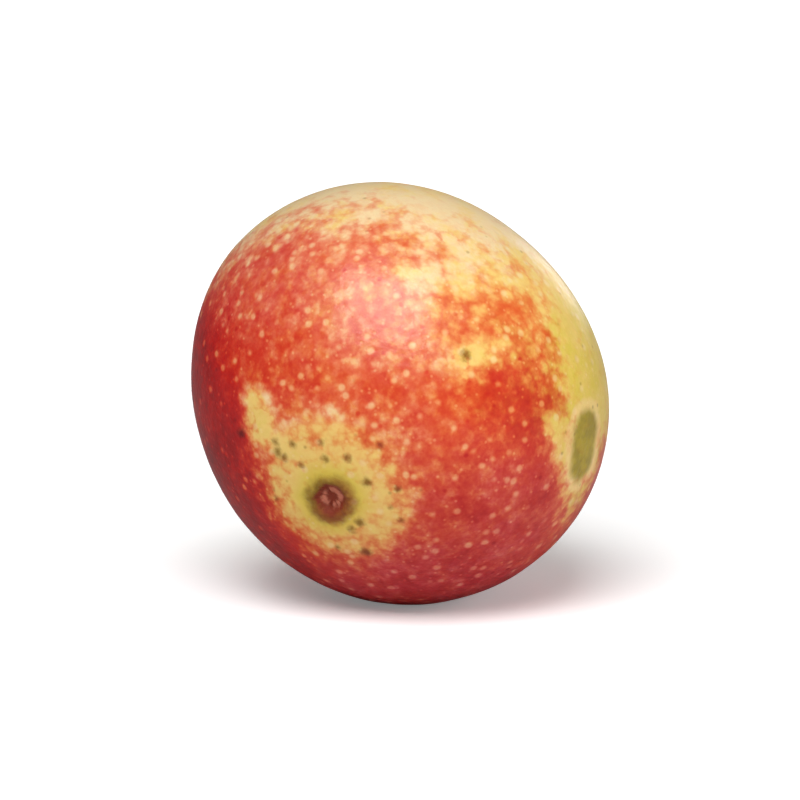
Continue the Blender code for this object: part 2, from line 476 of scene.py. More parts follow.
def tinted(column):
    """Mean of the given values of one column, weighted by exp(-(distance / reach) squared)."""
    weights = [bump(apart(row[0]), 0.0, TINT_REACH) + 1e-6 for row in TINTS.values()]
    values = [row[column] for row in TINTS.values()]
    return sum(w * v for w, v in zip(weights, values)) / sum(weights)


PIGMENT, COOL, GREEN, FLECK = 1, 2, 3, 4
PATCH_SIZE, FLECK_SHIFT = 3.6, 0.2

patchy = rough_noise(skin_points, PATCH_SIZE, 3, 51)
pigment = tinted(PIGMENT) * (1.0 + 0.10 * patchy)
cool = np.clip(tinted(COOL) + 0.10 * patchy, 0.0, 1.0)
green = np.clip(tinted(GREEN) + 0.08 * patchy, 0.0, 1.0)
fleck = tinted(FLECK) - FLECK_SHIFT
paint(skin_mesh, "pigment", pigment)
paint(skin_mesh, "cool", cool)

# %% [markdown]
# ## Where the skin is bare of red
#
# The red is a blush over a yellow skin. Where it is missing is stored as one field: above zero
# the skin is bare, below it is red, and about zero the two share it in flecks. The crown and the
# far side never reddened, and a tongue of bare skin comes down on the right. Each part is a cap
# or a round brush with its own softness, and the highest counts, with rounded corners between.

# %% Crown and tongue
def cap(way, reach, soft):
    """Height over the edge of a cap: (reach - distance from its middle) / soft, in mm."""
    return (reach - apart(way)) / soft


def highest(fields, sharp=4.0):
    """The highest of several fields with rounded corners: log of the sum of exp(sharp x field)."""
    return np.log(sum(np.exp(sharp * field) for field in fields)) / sharp


crown = cap(direction(71.0, 32.1), 17.1 + 0.6 * patchy, 2.2)
tongue = highest([
    cap(direction(4.7, 7.8), 9.2 + 0.4 * patchy, 1.5),
    trail([(9.3, -1.6), (9.9, -3.4), (10.5, -5.4), (10.8, -6.3)], [0.6, 0.7, 0.6, 0.3], 0.7),
    trail([(11.2, -2.6), (11.0, -3.8)], [2.1, 2.0], 0.7),
])
print("share of the skin under the crown cap:", (crown > 0.0).mean().round(2))

# %% [markdown]
# ## Small bare patches and the finger
#
# The blush tears open in small patches near its upper edge, one of them round the small pit, and
# a greener finger of bare skin points up from the stem end. Short brush trails give their places
# and lengths, and the material's noise gives their edges.

# %% Patches and finger
patches = highest([
    trail([(0.8, 7.1), (1.9, 7.0)], [0.8, 0.8], 0.8),
    trail([(4.2, 9.0), (3.9, 7.0)], [0.9, 1.0], 0.8),
    trail([(6.2, 6.8), (7.4, 6.6)], [0.7, 0.7], 0.8),
    trail([(-3.8, 10.0), (-1.3, 10.7)], [0.4, 0.7], 0.8),
    trail([(3.0, 10.9), (5.6, 9.8)], [0.9, 0.9], 0.8),
    trail([(3.2, 1.6), (4.3, 2.1), (6.2, 3.0)], [0.4, 0.65, 0.3], 0.9),
])
finger = highest([
    trail([(-8.45, -0.6), (-8.1, -1.9)], [0.95, 1.20], 0.8),
    trail([(-7.6, -2.7), (-6.0, -3.5)], [1.05, 0.95], 1.0),
])
print("highest of the patches and the finger:", patches.max().round(2), finger.max().round(2))

# %% [markdown]
# ## The halo round the stem scar
#
# Round the scar the skin is bare in an uneven ring, whose reach is read off the clock face.
# Above the scar pale rays run from it into the red, where the skin stretched as the fruit
# filled. The rays are noise on a circle, so they point away from the scar.

# %% Halo
HALO_CLOCK = (0, 45, 90, 135, 180, 225, 270, 315)
HALO_REACH = (4.1, 3.9, 3.8, 4.1, 4.3, 3.9, 3.1, 3.5)
HALO_SOFT = 1.7
RAY_MIDDLE, RAY_REACH = 5.4, 2.2
RAY_STEADY, RAY_UNEVEN = 0.35, 0.9
RAYS_ROUND, RAY_DRIFT = 7.0, (0.10, 0.14, 0.12)

halo = (by_clock(HALO_CLOCK, HALO_REACH) - from_stem) / HALO_SOFT
rays = rough_noise(circle * RAYS_ROUND + from_stem[..., None] * RAY_DRIFT, 1.0, 2, 57)
upward = ramp(np.sin(clock), -0.3, 0.7)
lift = upward * bump(from_stem, RAY_MIDDLE, RAY_REACH)
halo = halo + lift * (RAY_STEADY + RAY_UNEVEN * rays)
print("the halo's edge lies", from_stem[halo > 0.0].max().round(1), "mm from the pole at most")

# %% [markdown]
# ## Bare skin and green skin, joined
#
# The highest of the bare fields is taken, and a few red places are cut back into it: the lower
# right edge, where the strip is partly red skin and partly painted shade, the low back, the
# crown's upper left and a notch under the finger. The finger and the ring round the small pit
# are greener than the tints say.

# %% Bare and green
PIT_PLACE, PIT_RING, PIT_GREEN = (3.98, 2.20), 0.9, 0.75
FINGER_WEIGHT, FINGER_GREEN = 1.2, 0.50
BARE_LIMIT = 2.5

bare = highest([fleck, crown, tongue, patches, FINGER_WEIGHT * finger, halo])
red_places = [
    # lower right edge: a thin red strip, partly red skin and partly painted shade on the edge
    trail([(11.4, -6.6), (12.0, -4.6), (12.3, -2.6)], [0.3, 0.4, 0.3], 0.8),
    cap(direction(18.0, -34.0), 8.0, 1.0),
    trail([(-5.6, 10.2), (-2.6, 11.3)], [0.2, 0.1], 1.6),
    trail([(-9.4, -2.2), (-8.6, -3.1), (-7.4, -3.9)], [0.12, 0.15, 0.12], 0.35),
]
bare = -highest([-bare, *red_places])
bare = np.clip(bare, -BARE_LIMIT, BARE_LIMIT)
green = np.maximum(green, FINGER_GREEN * ramp(finger, -1.0, 1.0))
green = np.maximum(green, PIT_GREEN * bump(apart(seen(*PIT_PLACE)), 0.0, PIT_RING))
paint(skin_mesh, "bare", bare)
paint(skin_mesh, "green", green)

# %% [markdown]
# ## Marks of their own
#
# Some marks are single things: the dark olive dots, and the oval green patch low on the right,
# which saw no sun. They are fields too, so that the material can roughen their edges.

# %% Marks
DARK_DOTS = (
    # right, up, radius
    (-4.30, -3.85, 0.26), (-2.99, -3.77, 0.28), (-1.87, -5.23, 0.34), (-2.30, -7.60, 0.32),
    (-2.75, -8.05, 0.26), (-1.90, -9.34, 0.36), (-7.10, -3.45, 0.32), (-6.75, -3.75, 0.26),
    (-6.20, -3.00, 0.24), (-7.25, -2.85, 0.24), (-5.75, -4.20, 0.18), (-9.30, -2.35, 0.36),
    (-4.55, -2.90, 0.20), (-1.00, -3.00, 0.20), (*PIT_PLACE, 0.32), (-3.60, -9.10, 0.16),
    (-0.45, -6.70, 0.14), (-0.05, -5.60, 0.22), (0.20, -7.50, 0.16), (-7.20, -6.20, 0.16),
)
DOT_SOFT, PATCH_SOFT, MARK_LIMIT = 0.28, 0.45, 3.0
CUP_FLOOR, CUP_FLOOR_WALL, OLIVE_HOUR = 1.2, 0.1, math.radians(140.0)

dots = np.max([trail([(x, y)], [size], DOT_SOFT) for x, y, size in DARK_DOTS], axis=0)
patch = trail([(11.2, -2.3), (11.0, -4.0)], [1.40, 1.25], PATCH_SOFT)
paint(skin_mesh, "dots", np.clip(dots, -MARK_LIMIT, MARK_LIMIT))
paint(skin_mesh, "patch", np.clip(patch, -MARK_LIMIT, MARK_LIMIT))
paint(skin_mesh, "stem_distance", stem_distance)
paint(skin_mesh, "ring_distance", ring_distance)
paint(skin_mesh, "strands", strands * bowl(from_stem, CUP_FLOOR, CUP_FLOOR_WALL))
paint(skin_mesh, "scar_side", np.cos(clock - OLIVE_HOUR))

# %% [markdown]
# ## Small helpers for nodes
#
# A material is a graph, and building one by hand takes a line for every box and wire. These
# helpers make a box with its settings and wires in one call, so that the recipes below read in
# the order in which the colour is mixed.

# %% Node helpers
def wire(tree, made, inputs):
    """Sets a node's inputs; each socket's name or place is given a value or a wire."""
    for key, value in inputs.items():
        socket = made.inputs[key]
        if isinstance(value, bpy.types.NodeSocket):
            tree.links.new(value, socket)
        else:
            socket.default_value = value


def node(tree, kind, inputs=None, **settings):
    """A new node with its settings and its inputs."""
    made = tree.nodes.new(kind)
    for name, value in settings.items():
        setattr(made, name, value)
    wire(tree, made, inputs or {})
    return made


def maths(tree, operation, first, second=0.0, clamp=False):
    """One sum on two values."""
    made = node(tree, "ShaderNodeMath", {0: first, 1: second}, operation=operation)
    made.use_clamp = clamp
    return made.outputs[0]


def times(tree, first, second):
    """One value times another."""
    return maths(tree, "MULTIPLY", first, second)


def mix(tree, share, first, second):
    """The colour that lies share of the way from first to second."""
    made = node(tree, "ShaderNodeMix", {0: share, 6: first, 7: second}, data_type="RGBA")
    return made.outputs[2]


def remap(tree, value, low, high, to_low=0.0, to_high=1.0):
    """Value carried from one range to another along an S-curve, held at the ends."""
    inputs = {0: value, 1: low, 2: high, 3: to_low, 4: to_high}
    made = node(tree, "ShaderNodeMapRange", inputs, interpolation_type="SMOOTHSTEP")
    return made.outputs[0]


def field(tree, name):
    """The value of an attribute of the mesh."""
    return node(tree, "ShaderNodeAttribute", attribute_name=name).outputs["Fac"]


def vectors(tree, operation, inputs):
    """One sum on vectors."""
    return node(tree, "ShaderNodeVectorMath", inputs, operation=operation).outputs[0]


def noise(tree, place, scale, detail=2.0, roughness=0.5):
    """Noise between about 0 and 1, with scale features in a millimetre."""
    inputs = {"Vector": place, "Scale": scale, "Detail": detail, "Roughness": roughness}
    return node(tree, "ShaderNodeTexNoise", inputs).outputs["Fac"]


def colour(red, green, blue):
    """A linear colour with full cover."""
    return (red, green, blue, 1.0)


def new_group(name, inputs, outputs):
    """An empty shader group with named sockets, what it is given, and its output node."""
    tree = bpy.data.node_groups.new(name, "ShaderNodeTree")
    for label, kind, value in inputs:
        socket = tree.interface.new_socket(label, in_out="INPUT", socket_type=kind)
        if value is not None:
            socket.default_value = value
    for label, kind in outputs:
        tree.interface.new_socket(label, in_out="OUTPUT", socket_type=kind)
    given = tree.nodes.new("NodeGroupInput").outputs
    return tree, given, tree.nodes.new("NodeGroupOutput")


def placed(name, data):
    """A new object with that data, linked into the scene."""
    made = bpy.data.objects.new(name, data)
    bpy.context.scene.collection.objects.link(made)
    return made


def with_nodes(owner, name):
    """A new material or world with nodes, its node tree, and its shader."""
    made = owner.new(name)
    made.use_nodes = True
    tree = made.node_tree
    return made, tree, tree.nodes.get("Principled BSDF") or tree.nodes["Background"]


FLOAT, VECTOR, COLOUR = "NodeSocketFloat", "NodeSocketVector", "NodeSocketColor"
print("sockets of a group:", FLOAT, VECTOR, COLOUR)

# %% [markdown]
# ## Group: uneven
#
# Nothing on skin keeps one value for long. This group adds noise of a given blotch size to any
# value: the edge of the blush, the density of the red, the green, the scars and the shine.

# %% Uneven
def use(tree, group, **inputs):
    """Places a group in a material, sets or wires its inputs, and gives back its first output."""
    return node(tree, "ShaderNodeGroup", inputs, node_tree=group).outputs[0]


def uneven_group():
    """Value plus amount times noise, mostly between -1 and 1, in blotches about size mm wide."""
    inputs = [
        ("Place", VECTOR, None), ("Value", FLOAT, 0.0), ("Size", FLOAT, 1.0),
        ("Amount", FLOAT, 0.2),
    ]
    tree, given, end = new_group("Uneven", inputs, [("Value", FLOAT)])
    per_mm = maths(tree, "DIVIDE", 1.0, given["Size"])
    wave = noise(tree, given["Place"], per_mm, 2.0, 0.55)
    inputs = {0: wave, 1: 4.0, 2: -2.0}
    signed = node(tree, "ShaderNodeMath", inputs, operation="MULTIPLY_ADD").outputs[0]
    push = times(tree, signed, given["Amount"])
    wire(tree, end, {"Value": maths(tree, "ADD", given["Value"], push)})
    return tree


def roughened(tree, place, value, *waves):
    """The value with the noise of each (size, amount) wave added to it, one after another."""
    for size, amount in waves:
        value = use(tree, uneven, Place=place, Value=value, Size=size, Amount=amount)
    return value


uneven = uneven_group()
print("nodes in the group Uneven:", len(uneven.nodes))

# %% [markdown]
# ## Group: specks
#
# The skin is dotted with pores: pale on the red, dark green on the yellow. A Voronoi pattern
# scatters one point in each cell, and the skin cuts through the balls round those points, so the
# dots come out in all sizes, as they do on the fruit. Some cells are left empty.

# %% Specks
def specks_group():
    """Mask of round dots: 1 where the distance to the nearest cell point is under the size."""
    inputs = [
        ("Place", VECTOR, None), ("Spacing", FLOAT, 1.0), ("Size", FLOAT, 0.2),
        ("Softness", FLOAT, 0.08), ("Kept", FLOAT, 0.8),
    ]
    tree, given, end = new_group("Specks", inputs, [("Mask", FLOAT)])
    per_mm = maths(tree, "DIVIDE", 1.0, given["Spacing"])
    inputs = {"Vector": given["Place"], "Scale": per_mm}
    cells = node(tree, "ShaderNodeTexVoronoi", inputs)
    distance = times(tree, cells.outputs["Distance"], given["Spacing"])
    outer = maths(tree, "ADD", given["Size"], given["Softness"])
    inside = remap(tree, distance, given["Size"], outer, 1.0, 0.0)
    inputs = {"Color": cells.outputs["Color"]}
    chance = node(tree, "ShaderNodeSeparateColor", inputs).outputs["Red"]
    kept = maths(tree, "LESS_THAN", chance, given["Kept"])
    wire(tree, end, {"Mask": times(tree, inside, kept)})
    return tree


specks = specks_group()
print("nodes in the group Specks:", len(specks.nodes))

# %% [markdown]
# ## Group: red juice
#
# The red sits in the outer cells of the skin like a dye over the yellow beneath. A dye dims each
# colour of light by a fixed share for each layer, so its effect is an exponential of its density:
# a thin film turns cream to apricot, more makes coral and then scarlet. The losses for red, green
# and blue set whether the dye is warm or cool.

# %% Red juice
def juice_group():
    """Ground colour times exp(-density x loss), channel by channel."""
    inputs = [
        ("Ground", COLOUR, None), ("Density", FLOAT, 0.5), ("Red loss", FLOAT, 0.33),
        ("Green loss", FLOAT, 3.0), ("Blue loss", FLOAT, 3.9),
    ]
    tree, given, end = new_group("Red juice", inputs, [("Colour", COLOUR)])
    ground = node(tree, "ShaderNodeSeparateColor", {"Color": given["Ground"]})
    joined = node(tree, "ShaderNodeCombineColor")
    for channel in ("Red", "Green", "Blue"):
        dose = times(tree, given["Density"], given[channel + " loss"])
        passed = maths(tree, "EXPONENT", times(tree, dose, -1.0))
        wire(tree, joined, {channel: times(tree, ground.outputs[channel], passed)})
    wire(tree, end, {"Colour": joined.outputs["Color"]})
    return tree


juice = juice_group()
print("nodes in the group Red juice:", len(juice.nodes))

# %% [markdown]
# ## The skin's colours
#
# Unripe skin is lime green, half ripe skin yellow and stretched skin cream; the cream is also
# paler and bluer than the skin alone, as painted sheen on the crown. The stem scar has an olive
# and bark lip and rust and pale fibre in its cup, and the blossom ring is tan cork. Red has no
# colour of its own, because the red juice makes it from the ground below.

# %% Skin colours
# cream ground, partly the skin's own and partly painted sheen on the crown
CREAM_AND_SHEEN = colour(0.77, 0.585, 0.32)
YELLOW = colour(0.76, 0.53, 0.155)
LIME = colour(0.62, 0.475, 0.055)
LEAF = colour(0.27, 0.205, 0.002)
MOSS = colour(0.36, 0.27, 0.006)
PEACH = colour(0.82, 0.58, 0.26)
DOT_OLIVE = colour(0.20, 0.095, 0.002)
OLIVE = colour(0.235, 0.125, 0.002)
BARK = colour(0.25, 0.070, 0.003)
RUST = colour(0.22, 0.024, 0.003)
FIBRE = colour(0.52, 0.16, 0.09)
CORK = colour(0.55, 0.36, 0.18)
CORK_CRACK = colour(0.20, 0.085, 0.030)
HOLLOW_BROWN = colour(0.11, 0.045, 0.018)

WARM_TO_COOL = (0.2, 0.8)
print("cream, yellow and lime:", CREAM_AND_SHEEN[:3], YELLOW[:3], LIME[:3])

# %% [markdown]
# ## Pores
#
# Pale pores lie all over the skin, larger where the red is cool and dense, with fine ones
# between them. Both are specks of one group at two spacings. The spacings of all the specks on
# the skin differ, or they would sit in the same places.

# %% Pores
PORES = {"Spacing": 1.0, "Softness": 0.22, "Kept": 0.9}
PORE_SIZES = (0.11, 0.15)
FINE_PORES = {"Spacing": 0.50, "Size": 0.03, "Softness": 0.12, "Kept": 0.7}
FINE_SHARE = 0.7


def pore_mask(tree, place):
    """1 on a pore: large ones, larger still on the cool red, and fine ones between them."""
    size = remap(tree, field(tree, "cool"), *WARM_TO_COOL, *PORE_SIZES)
    big = use(tree, specks, Place=place, Size=size, **PORES)
    fine = use(tree, specks, Place=place, **FINE_PORES)
    return maths(tree, "MAXIMUM", big, times(tree, fine, FINE_SHARE))


print("mm between pores:", PORES["Spacing"], FINE_PORES["Spacing"])

# %% [markdown]
# ## The ground under the red
#
# The ground goes from cream over yellow to lime with the green field, and is greener round the
# stem scar. A leaf-green patch with a peach rim lies at the lower right, and olive dots lie on
# bare skin. Each is mixed over the one before it by its own share, like coats of paint.

# %% Ground colour
GREEN_WAVES = ((1.6, 0.16), (0.35, 0.10))
PATCH_WAVE = (0.9, 0.35)
DOT_WAVE = (0.30, 0.35)
OLIVE_SPECKS = {"Spacing": 1.13, "Size": 0.03, "Softness": 0.15, "Kept": 0.7}
ALL_YELLOW, ALL_LIME = 0.35, 1.0


def green_share(tree, place):
    """How green the ground is: the green field, or more of it near the stem scar."""
    green = roughened(tree, place, field(tree, "green"), *GREEN_WAVES)
    stem = field(tree, "stem_distance")
    near_scar = remap(tree, stem, 1.3, 3.4, 1.0, 0.5)
    near_scar = times(tree, near_scar, remap(tree, stem, 4.5, 6.0, 1.0, 0.0))
    return maths(tree, "MAXIMUM", green, near_scar)


def ground_colour(tree, place, bare_share, pores):
    """Cream, yellow or lime by the green share, the green patch, and dark dots on bare skin."""
    green = green_share(tree, place)
    ground = mix(tree, remap(tree, green, 0.0, ALL_YELLOW), CREAM_AND_SHEEN, YELLOW)
    ground = mix(tree, remap(tree, green, ALL_YELLOW, ALL_LIME), ground, LIME)
    ground = mix(tree, times(tree, pores, 0.45), ground, CREAM_AND_SHEEN)
    patch = roughened(tree, place, field(tree, "patch"), PATCH_WAVE)
    ground = mix(tree, remap(tree, patch, -1.9, -1.0, 0.0, 0.55), ground, PEACH)
    leaf = mix(tree, remap(tree, noise(tree, place, 1.0, 3.0, 0.6), 0.40, 0.65), LEAF, MOSS)
    ground = mix(tree, remap(tree, patch, -0.8, 0.8, 0.0, 0.95), ground, leaf)
    dots = roughened(tree, place, field(tree, "dots"), DOT_WAVE)
    ground = mix(tree, remap(tree, dots, -0.7, 1.0, 0.0, 0.9), ground, DOT_OLIVE)
    fine = times(tree, use(tree, specks, Place=place, **OLIVE_SPECKS), bare_share)
    return mix(tree, times(tree, fine, 0.5), ground, DOT_OLIVE)


print("all yellow at green", ALL_YELLOW, "and all lime at", ALL_LIME)

# %% [markdown]
# ## Cells of the skin
#
# Near its edge the blush breaks up into small islands. Plain noise makes clouds there, but a
# smooth cell pattern makes islands, and shaking its places first bends their straight borders.

# %% Cells
CELL_SIZE, CELL_SMOOTH = 0.85, 0.30
SHAKE_SIZE, SHAKE_REACH = 0.60, 0.22


def cell_fleck(tree, place):
    """1 inside each cell and about 0 on its borders, at the place plus 4 reach (wave - 0.5)."""
    inputs = {"Vector": place, "Scale": 1.0 / SHAKE_SIZE, "Detail": 1.0}
    wave = node(tree, "ShaderNodeTexNoise", inputs).outputs["Color"]
    centred = vectors(tree, "SUBTRACT", {0: wave, 1: (0.5, 0.5, 0.5)})
    push = vectors(tree, "SCALE", {0: centred, "Scale": 4.0 * SHAKE_REACH})
    shaken = vectors(tree, "ADD", {0: place, 1: push})
    inputs = {"Vector": shaken, "Scale": 1.0 / CELL_SIZE, "Smoothness": CELL_SMOOTH}
    cells = node(tree, "ShaderNodeTexVoronoi", inputs, feature="SMOOTH_F1").outputs["Distance"]
    return remap(tree, cells, 0.05, 0.95, 1.0, 0.0)


print("mm between cells:", CELL_SIZE)

# %% [markdown]
# ## The edge of the blush
#
# The bare field is smooth. Noise of three sizes and the cells are added to it, so that its edge
# turns into blotches, islands and grain. The red fades over a wide range of it, because on the
# fruit the blush thins out over a few millimetres.

# %% Share of the red
BLUSH_WAVES = ((1.8, 0.30), (0.75, 0.62), (0.26, 0.30))
CELL_PUSH, CELL_CENTRE = 0.95, 0.40
ALL_RED, ALL_BARE = -1.5, 1.2


def red_share_of(tree, place, cell):
    """How much red lies over the ground: 1 in the blush, 0 on bare skin, broken up between."""
    level = roughened(tree, place, field(tree, "bare"), *BLUSH_WAVES)
    centred = maths(tree, "SUBTRACT", cell, CELL_CENTRE)
    level = maths(tree, "ADD", level, times(tree, centred, CELL_PUSH))
    return remap(tree, level, ALL_RED, ALL_BARE, 1.0, 0.0)


print("the red fades out from bare", ALL_RED, "to", ALL_BARE)

# %% [markdown]
# ## How dense the red is
#
# The red is never even. It is thinner towards bare skin and in the pores, and deeper in small
# specks. All of this changes only the density of the juice, so that thin places turn orange and
# dense ones crimson by themselves.

# %% Density of the red
DENSITY_WAVES = ((2.2, 0.22), (0.65, 0.26), (0.24, 0.15))
THIN_RANGE, THINNEST = (-2.0, 0.8), 0.45
LEAST_DENSITY = 0.05
PORE_THINNING = (0.68, 0.56)
RED_SPECKS = {"Spacing": 1.27, "Size": 0.05, "Softness": 0.16, "Kept": 0.6}
SPECK_DEPTH, BORDER_DEPTH = 0.55, 0.30


def red_density(tree, place, cell, red_share, pores):
    """Pigment, thinner near bare skin, uneven at three sizes, with pale pores and dark specks."""
    thin = remap(tree, field(tree, "bare"), *THIN_RANGE, 1.0, THINNEST)
    pigment = times(tree, field(tree, "pigment"), thin)
    waves = [(size, times(tree, pigment, amount)) for size, amount in DENSITY_WAVES]
    density = roughened(tree, place, pigment, *waves)
    push = times(tree, maths(tree, "SUBTRACT", CELL_CENTRE, cell), BORDER_DEPTH)
    density = maths(tree, "MAXIMUM", maths(tree, "ADD", density, push), LEAST_DENSITY)
    pore_share = remap(tree, field(tree, "cool"), *WARM_TO_COOL, *PORE_THINNING)
    thinned = maths(tree, "SUBTRACT", 1.0, times(tree, pores, pore_share))
    density = times(tree, density, thinned)
    dark = use(tree, specks, Place=place, **RED_SPECKS)
    deeper = times(tree, times(tree, dark, pigment), SPECK_DEPTH)
    return times(tree, maths(tree, "ADD", density, deeper), red_share)


print("waves in the density, as size and share:", DENSITY_WAVES)

# %% [markdown]
# ## Faint red on bare skin
#
# Bare skin has apricot clouds and a thin torn net of red lines, both strongest next to the
# blush. The net runs along the borders of the same cells, as if it were what is left of it.

# %% Stain
CLOUD_DENSITY, NET_DENSITY = 0.08, 0.26
TORN_WAVE = (0.22, 0.16)
BLUSH_REACH, FAR_SHARE = (0.2, 1.5), 0.28


def stain_density(tree, place, cell):
    """(Clouds + net) x nearness: a density that fades as the bare field rises."""
    near_blush = remap(tree, field(tree, "bare"), *BLUSH_REACH, 1.0, FAR_SHARE)
    clouds = noise(tree, place, 1.1, 3.0, 0.6)
    clouds = remap(tree, clouds, 0.45, 0.78, 0.0, CLOUD_DENSITY)
    lines = roughened(tree, place, cell, TORN_WAVE)
    lines = remap(tree, lines, -0.10, 0.45, NET_DENSITY, 0.0)
    where = remap(tree, noise(tree, place, 0.7, 2.0, 0.5), 0.40, 0.62)
    return times(tree, maths(tree, "ADD", clouds, times(tree, lines, where)), near_blush)


print("density of the clouds and the net:", CLOUD_DENSITY, NET_DENSITY)

# %% [markdown]
# ## Colour of the whole skin
#
# The juice is laid over the ground with the losses of a warm scarlet and with those of a cool
# crimson, and the cool field mixes the two. One dye could not do both, because scarlet swallows
# blue and crimson lets it through.

# %% Juice over ground
WARM_LOSS = {"Red loss": 0.33, "Green loss": 3.0, "Blue loss": 3.9}
COOL_LOSS = {"Red loss": 0.52, "Green loss": 2.9, "Blue loss": 2.05}


def skin_colour(tree, place, pores):
    """Ground times exp(-density x loss), with warm and cool losses mixed by the cool field."""
    cell = cell_fleck(tree, place)
    red_share = red_share_of(tree, place, cell)
    bare_share = maths(tree, "SUBTRACT", 1.0, red_share)
    ground = ground_colour(tree, place, bare_share, pores)
    density = red_density(tree, place, cell, red_share, pores)
    density = maths(tree, "MAXIMUM", density, stain_density(tree, place, cell))
    warm = use(tree, juice, Ground=ground, Density=density, **WARM_LOSS)
    cool = use(tree, juice, Ground=ground, Density=density, **COOL_LOSS)
    return mix(tree, field(tree, "cool"), warm, cool)


print("losses of the warm and the cool red:", WARM_LOSS, COOL_LOSS)

# %% [markdown]
# ## The two scars
#
# The stem scar has a fibrous cup and a lip that is bark brown on one side and olive on the
# other. The blossom ring is cracked cork round a dark hollow. Both are laid over the skin by
# their distance from the pole, made uneven so that no edge is a perfect circle.

# %% Scars on the skin
STEM_WAVES = ((0.9, 0.22), (0.25, 0.06))
FIBRE_WAVE = (0.32, 0.28)
RING_WAVE = (0.25, 0.09)
CUP_EDGE, SCAR_EDGE = (0.88, 1.30), (1.25, 2.20)
HOLLOW_EDGE, RING_EDGE = (1.0, 1.2), (1.80, 2.0)


def with_stem_scar(tree, place, skin):
    """The skin with the stem scar laid over it, and the share of the scar."""
    stem = roughened(tree, place, field(tree, "stem_distance"), *STEM_WAVES)
    fibre = roughened(tree, place, field(tree, "strands"), FIBRE_WAVE)
    cup = mix(tree, remap(tree, fibre, 0.20, 1.0), RUST, FIBRE)
    lip = mix(tree, remap(tree, field(tree, "scar_side"), -0.6, 0.8), BARK, OLIVE)
    scar = mix(tree, remap(tree, stem, *CUP_EDGE), cup, lip)
    share = remap(tree, stem, *SCAR_EDGE, 1.0, 0.0)
    return mix(tree, share, skin, scar), share


def with_blossom_ring(tree, place, skin):
    """The skin with the blossom ring laid over it, and the share of the ring."""
    ring = roughened(tree, place, field(tree, "ring_distance"), RING_WAVE)
    cracks = remap(tree, noise(tree, place, 6.0, 4.0, 0.7), 0.52, 0.62)
    cork = mix(tree, cracks, CORK, CORK_CRACK)
    cork = mix(tree, remap(tree, ring, *HOLLOW_EDGE), HOLLOW_BROWN, cork)
    share = remap(tree, ring, *RING_EDGE, 1.0, 0.0)
    return mix(tree, share, skin, cork), share


print("the scars fade out at", SCAR_EDGE[1], "and", RING_EDGE[1], "mm")

# %% [markdown]
# ## Wax and fine relief
#
# The wax gives a soft, broad shine, so the roughness is middling, and the scars are dull. A faint
# swell breaks the edge of the shine, the pores are sunk, and cork is grainy. All three are too
# small for the mesh, so they are bumps.

# %% Shine and bumps
SKIN_ROUGHNESS, CORK_EXTRA = 0.33, 0.35
SHINE_WAVE = (1.4, 0.03)
PEEL_BUMP, PORE_BUMP, GRAIN_BUMP = 0.028, -0.008, 0.06


def skin_roughness(tree, place, dull):
    """The wax's roughness, a little uneven, and more of it where the skin is dull cork."""
    rough = roughened(tree, place, SKIN_ROUGHNESS, SHINE_WAVE)
    return maths(tree, "ADD", rough, times(tree, dull, CORK_EXTRA), clamp=True)


def skin_bumps(tree, place, pores, dull):
    """The normal bent by swell - pores + grain, in mm."""
    peel = times(tree, noise(tree, place, 2.2, 2.0, 0.5), PEEL_BUMP)
    relief = maths(tree, "ADD", peel, times(tree, pores, PORE_BUMP))
    grain = times(tree, noise(tree, place, 7.0, 3.0, 0.7), GRAIN_BUMP)
    relief = maths(tree, "ADD", relief, times(tree, grain, dull))
    inputs = {"Strength": 1.0, "Distance": MM, "Height": relief}
    return node(tree, "ShaderNodeBump", inputs).outputs[0]


print("bumps in mm:", PEEL_BUMP, PORE_BUMP, GRAIN_BUMP)

# %% [markdown]
# ## The skin material
#
# The pieces above are wired into one material. Places are the object's own coordinates in mm,
# so the pattern moves with the fruit. A little light travels in the juicy flesh under the skin.

# %% Skin material
WAX_IOR = 1.48
FLESH_SHARE, FLESH_REACH, FLESH_HUES = 0.10, 0.5 * MM, (1.0, 0.35, 0.15)


def skin_material():
    """Red and yellow skin with pores, the two scars, waxy shine and fine relief."""
    material, tree, shader = with_nodes(bpy.data.materials, "camu_camu_skin")
    metres = node(tree, "ShaderNodeTexCoord").outputs["Object"]
    place = vectors(tree, "SCALE", {0: metres, "Scale": 1.0 / MM})
    pores = pore_mask(tree, place)
    skin = skin_colour(tree, place, pores)
    skin, scar_share = with_stem_scar(tree, place, skin)
    skin, ring_share = with_blossom_ring(tree, place, skin)
    dull = maths(tree, "MAXIMUM", scar_share, ring_share)
    wire(tree, shader, {
        "Base Color": skin,
        "Roughness": skin_roughness(tree, place, dull),
        "Normal": skin_bumps(tree, place, pores, dull),
        "IOR": WAX_IOR,
        "Subsurface Weight": FLESH_SHARE,
        "Subsurface Radius": FLESH_HUES,
        "Subsurface Scale": FLESH_REACH,
    })
    return material


skin_mesh.materials.append(skin_material())
print("nodes in the skin:", len(skin_mesh.materials[0].node_tree.nodes))

# %% [markdown]
# ## The fruit
#
# Two surfaces in one place would flicker, so the finished skin takes the place of the plain
# solid's node, which is hidden, and rides on its body.

# %% Fruit
fruit = placed("camu_camu", skin_mesh)
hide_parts("camu_camu_fruit")
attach(fruit, "root")
print("corners of the fruit's mesh:", len(skin_mesh.vertices))

# %% [markdown]
# ## Floor
#
# The fruit lies on a white sheet, lit past white so that it meets the white surround with no
# line. Three kinds of ray get their own colour. The camera sees white that glows more further
# off. Bounced light is dimmed a little. What the skin mirrors is a painted reflection, darker,
# most of all on the left, as if a dark card lay there out of the camera's view, where there is
# none.

# %% Floor
FLOOR_SIDE, FLOOR_DROP = 6.0, 0.02 * MM
WHITE = colour(1.0, 1.0, 1.0)
SEEN_WHITE, BOUNCED_WHITE = colour(0.97, 0.97, 0.97), colour(0.84, 0.82, 0.83)
